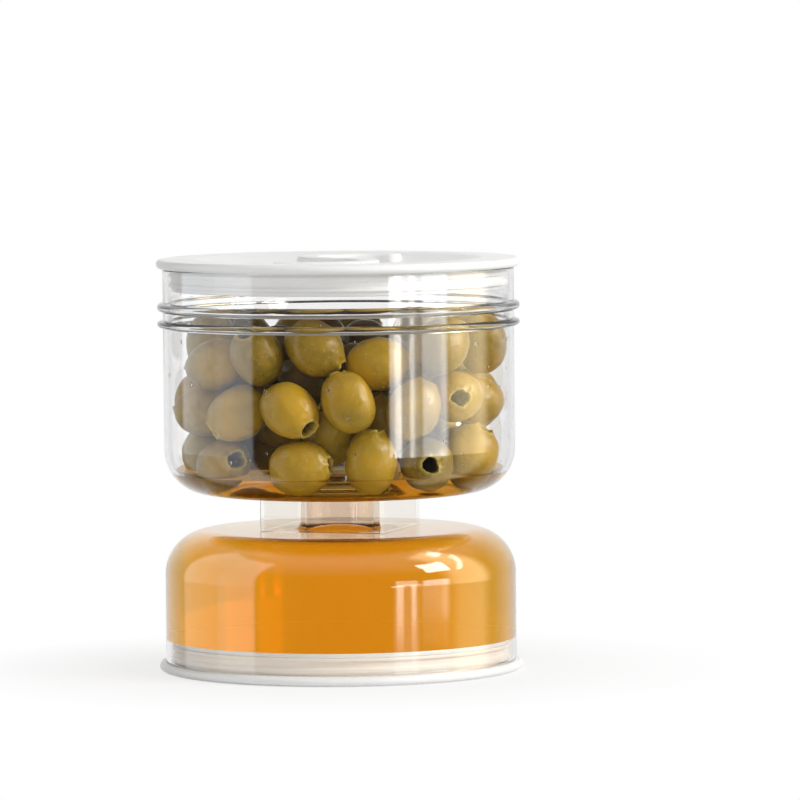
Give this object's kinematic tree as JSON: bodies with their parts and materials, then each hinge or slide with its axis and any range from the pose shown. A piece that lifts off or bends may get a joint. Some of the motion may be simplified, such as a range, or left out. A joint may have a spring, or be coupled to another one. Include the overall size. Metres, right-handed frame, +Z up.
{
  "type": "hourglass pickle jar",
  "caption": "Clear hourglass jar: an upper chamber of pitted olives over a lower chamber of brine, joined by a square neck with a strainer, with a white plug-in lid at each end.",
  "frame": {"origin": "centre of the base lid's outer face, on the surface that the jar stands on", "axes": "+Z up along the jar's axis, from the base lid to the upper lid; -Y is the side that the picture shows"},
  "size_m": [0.115, 0.115, 0.13],
  "materials": {
    "clear": "clear and polished, moulded",
    "lid_white": "white, soft gloss",
    "seal": "milky silicone, satin",
    "brine": "clear amber liquid",
    "olive": "wet olive skin, green to dull gold"
  },
  "bodies": {
    "base": {"base_lid": "lid_white", "base_lid_seal": "seal"},
    "lower": {"lower_chamber": "clear", "brine": "brine", "spout_o_ring": "seal"},
    "upper": {"upper_chamber": "clear", "neck_sleeve": "clear", "strainer": "lid_white", "olive_01": "olive", "olive_02": "olive", "olive_03": "olive", "olive_04": "olive", "olive_05": "olive", "olive_06": "olive", "olive_07": "olive", "olive_08": "olive", "olive_09": "olive", "olive_10": "olive", "olive_11": "olive", "olive_12": "olive", "olive_13": "olive", "olive_14": "olive", "olive_15": "olive", "olive_16": "olive", "olive_17": "olive", "olive_18": "olive", "olive_19": "olive", "olive_20": "olive", "olive_21": "olive", "olive_22": "olive", "olive_23": "olive", "olive_24": "olive", "olive_25": "olive", "olive_26": "olive", "olive_27": "olive", "olive_28": "olive", "olive_29": "olive", "olive_30": "olive", "olive_31": "olive", "olive_32": "olive", "olive_33": "olive", "olive_34": "olive", "olive_35": "olive", "olive_36": "olive", "olive_37": "olive", "olive_38": "olive", "olive_39": "olive", "olive_40": "olive", "olive_41": "olive", "olive_42": "olive", "olive_heap": "olive"},
    "lid": {"upper_lid": "lid_white", "upper_lid_seal": "seal"}
  },
  "joints": [
    {"name": "base_pull", "type": "slide", "parent": "base", "child": "lower", "axis": [0, 0, 1], "range_m": [0, 0.03]},
    {"name": "neck_pull", "type": "slide", "parent": "lower", "child": "upper", "axis": [0, 0, 1], "range_m": [0, 0.03]},
    {"name": "lid_pull", "type": "slide", "parent": "upper", "child": "lid", "axis": [0, 0, 1], "range_m": [0, 0.05]}
  ]
}
